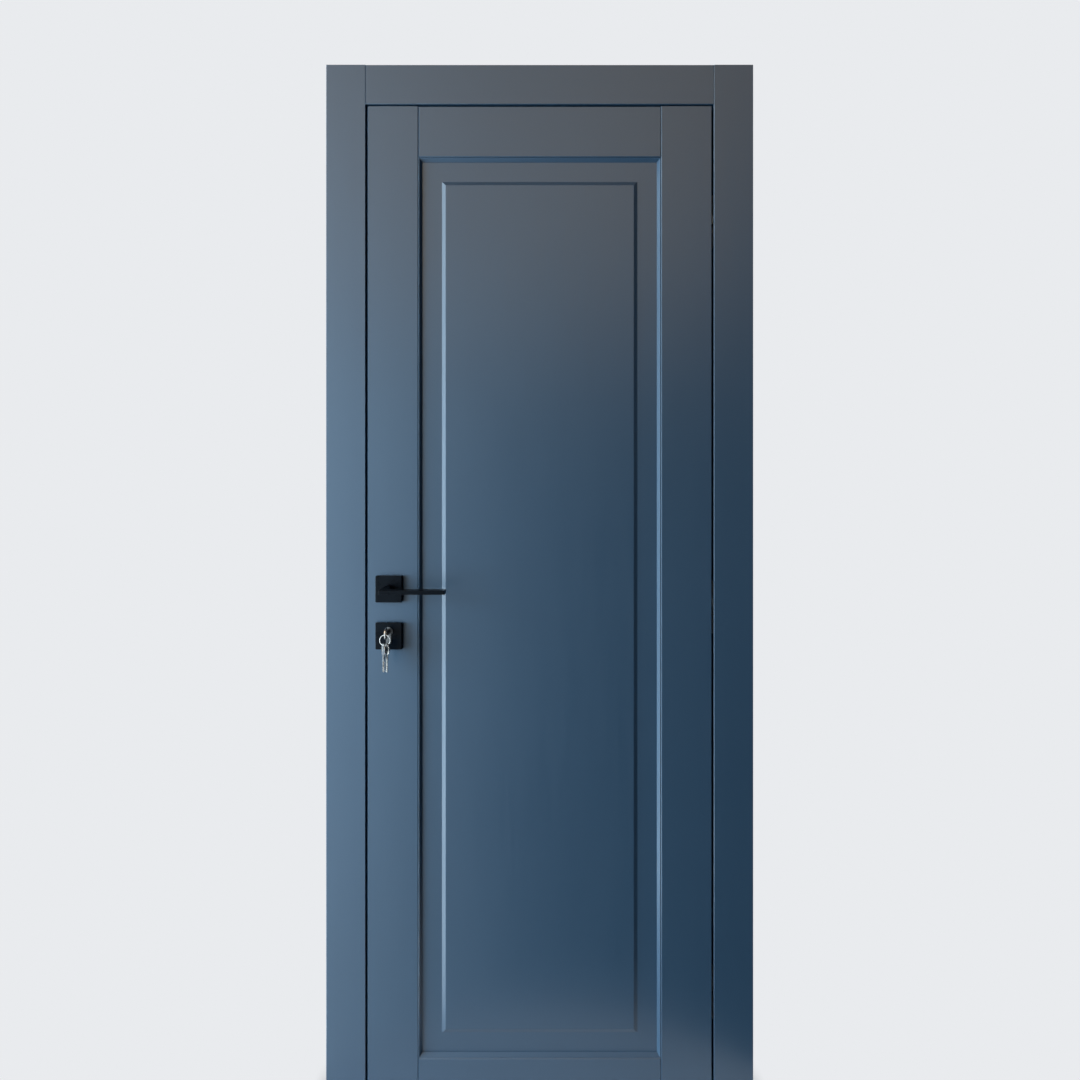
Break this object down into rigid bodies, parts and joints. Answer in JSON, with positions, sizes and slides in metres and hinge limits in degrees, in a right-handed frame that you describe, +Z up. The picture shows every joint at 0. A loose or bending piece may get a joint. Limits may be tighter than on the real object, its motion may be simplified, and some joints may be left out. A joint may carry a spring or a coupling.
{
  "type": "panelled front door",
  "caption": "Flush single-leaf door with a raised panel, set in its rebated timber frame on concealed hinges, with lever handles, mortise lock and a key ring in the lock.",
  "frame": {"origin": "on the floor, under the middle of the leaf's width and thickness", "axes": "+X right seen from the front, +Y through the door towards its back, +Z up"},
  "size_m": [0.869, 0.172, 2.1295],
  "materials": {
    "door_paint": "satin slate-blue paint",
    "black_metal": "matt black",
    "lock_steel": "brushed",
    "key_steel": "bright nickel",
    "cylinder_metal": "satin nickel",
    "seal_rubber": "matt",
    "hinge_metal": "satin"
  },
  "bodies": {
    "frame": {"frame_leg_left": "door_paint", "frame_leg_right": "door_paint", "frame_head": "door_paint", "frame_seals": "seal_rubber", "strike_plate": "lock_steel", "strike_screws": "lock_steel", "jamb_hinge_screws": "lock_steel", "jamb_hinge_cup_bottom": "hinge_metal", "jamb_hinge_cup_middle": "hinge_metal", "jamb_hinge_cup_top": "hinge_metal"},
    "leaf": {"lock_stile": "door_paint", "hinge_stile": "door_paint", "top_rail": "door_paint", "bottom_rail": "door_paint", "raised_panel": "door_paint", "front_moulding_left": "door_paint", "front_moulding_right": "door_paint", "front_moulding_top": "door_paint", "front_moulding_bottom": "door_paint", "back_moulding_left": "door_paint", "back_moulding_right": "door_paint", "back_moulding_top": "door_paint", "back_moulding_bottom": "door_paint", "lock_case": "lock_steel", "lock_faceplate": "lock_steel", "faceplate_screws": "lock_steel", "front_rosette": "black_metal", "back_rosette": "black_metal", "front_escutcheon": "black_metal", "back_escutcheon": "black_metal", "cylinder_housing": "cylinder_metal", "cylinder_fixing_screw": "lock_steel", "leaf_hinge_screws": "lock_steel", "leaf_hinge_cup_bottom": "hinge_metal", "leaf_hinge_cup_middle": "hinge_metal", "leaf_hinge_cup_top": "hinge_metal"},
    "handle_set": {"front_lever": "black_metal", "back_lever": "black_metal", "spindle": "lock_steel", "lock_follower": "lock_steel"},
    "latch": {"latch_bolt": "lock_steel"},
    "deadbolt": {"deadbolt": "lock_steel"},
    "key_set": {"front_plug": "cylinder_metal", "back_plug": "cylinder_metal", "cylinder_cam": "lock_steel", "inserted_key": "key_steel"},
    "key_ring": {"split_ring": "key_steel", "spare_key_left": "key_steel", "spare_key_right": "key_steel"},
    "jamb_arms": {"jamb_hinge_arm_bottom": "hinge_metal", "jamb_hinge_arm_middle": "hinge_metal", "jamb_hinge_arm_top": "hinge_metal"},
    "leaf_arms": {"leaf_hinge_arm_bottom": "hinge_metal", "leaf_hinge_arm_middle": "hinge_metal", "leaf_hinge_arm_top": "hinge_metal"}
  },
  "joints": [
    {"name": "leaf_swing", "type": "hinge", "parent": "frame", "child": "leaf", "pos_m": [0.35225, -0.0285, 1], "axis": [0, 0, 1], "range_deg": [0, 100]},
    {"name": "jamb_arm_turn", "type": "hinge", "parent": "frame", "child": "jamb_arms", "pos_m": [0.36025, -0.014, 1], "axis": [0, 0, 1], "range_deg": [0, 100.5]},
    {"name": "leaf_arm_turn", "type": "hinge", "parent": "leaf", "child": "leaf_arms", "pos_m": [0.34425, -0.014, 1], "axis": [0, 0, 1], "range_deg": [-100.5, 0]},
    {"name": "lever_turn", "type": "hinge", "parent": "leaf", "child": "handle_set", "pos_m": [-0.305, 0, 1.064], "axis": [0, 1, 0], "range_deg": [0, 40], "stiffness_Nm_per_rad": 2, "springref_deg": -22.92},
    {"name": "latch_slide", "type": "slide", "parent": "leaf", "child": "latch", "axis": [-1, 0, 0], "range_m": [0, 0.01], "stiffness_N_per_m": 100, "springref_m": -0.004},
    {"name": "key_turn", "type": "hinge", "parent": "leaf", "child": "key_set", "pos_m": [-0.305, 0, 0.979], "axis": [0, 1, 0], "range_deg": [0, 360]},
    {"name": "deadbolt_slide", "type": "slide", "parent": "leaf", "child": "deadbolt", "axis": [-1, 0, 0], "range_m": [0, 0.0201]},
    {"name": "key_ring_swing", "type": "hinge", "parent": "key_set", "child": "key_ring", "pos_m": [-0.305, -0.067, 0.9775], "axis": [1, 0, 0], "range_deg": [-70, 12]}
  ],
  "couplings": [
    {"joint": "jamb_arm_turn", "follows": "leaf_swing", "ratio": 1},
    {"joint": "leaf_arm_turn", "follows": "leaf_swing", "ratio": -1},
    {"joint": "deadbolt_slide", "follows": "key_turn", "m_per_rad": 0.0031831}
  ]
}
